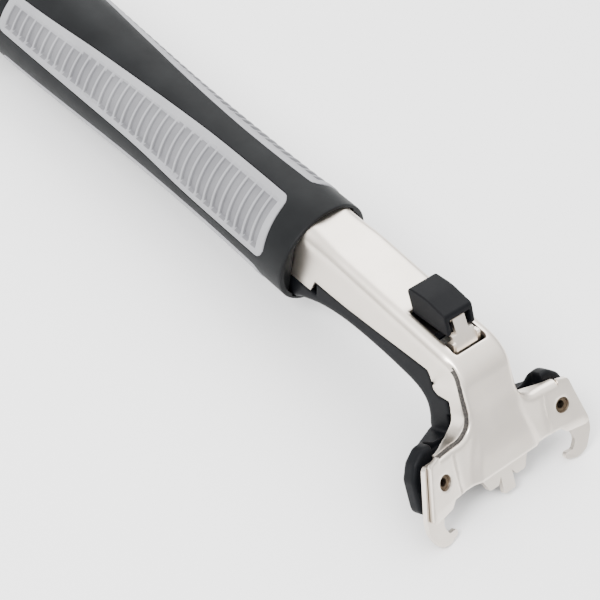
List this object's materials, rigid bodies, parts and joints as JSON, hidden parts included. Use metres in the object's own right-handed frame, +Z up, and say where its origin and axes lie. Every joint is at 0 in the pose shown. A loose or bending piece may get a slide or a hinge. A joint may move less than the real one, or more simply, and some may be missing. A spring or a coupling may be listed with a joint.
{
  "type": "hook-head hand tool with thumb-slide latch",
  "caption": "Hand tool: ribbed two-colour grip, bent sheet-metal neck, wide face with two hooks and a sprung latch plate between them on a thumb slide.",
  "frame": {"origin": "middle of the footprint, on the ground, with the tool resting on its hooks and on the butt end of its grip", "axes": "+Y along the grip to its butt, +Z up, on the thumb slide's side, +X to the right of someone looking from the head to the butt"},
  "size_m": [0.0696, 0.2618, 0.0499],
  "materials": {
    "nickel": "satin nickel-plated sheet steel",
    "steel": "plain steel",
    "bronze": "dull bronze",
    "black_plastic": "matte moulded",
    "grip_black": "fine matte moulded",
    "soft_grey": "ribbed soft-touch"
  },
  "bodies": {
    "frame": {"neck_shell": "nickel", "under_cover": "black_plastic", "hook_plate": "nickel", "rivet_left": "bronze", "rivet_right": "bronze", "return_spring": "steel", "guide_bracket": "steel", "slot_liner": "black_plastic", "tang": "steel", "tang_pin": "steel", "cover_screw_front": "steel", "cover_screw_rear": "steel", "grip_body": "grip_black", "insert_upper_left": "soft_grey", "insert_upper_right": "soft_grey", "insert_lower_left": "soft_grey", "insert_lower_right": "soft_grey", "end_cap": "grip_black"},
    "slide": {"slide_carrier": "nickel", "thumb_cap": "black_plastic", "guide_pin": "steel", "latch_plate": "nickel"}
  },
  "joints": [
    {"name": "thumb_slide", "type": "slide", "parent": "frame", "child": "slide", "axis": [0, -0.556, -0.8312], "range_m": [0, 0.002], "stiffness_N_per_m": 400, "springref_m": -0.003}
  ]
}
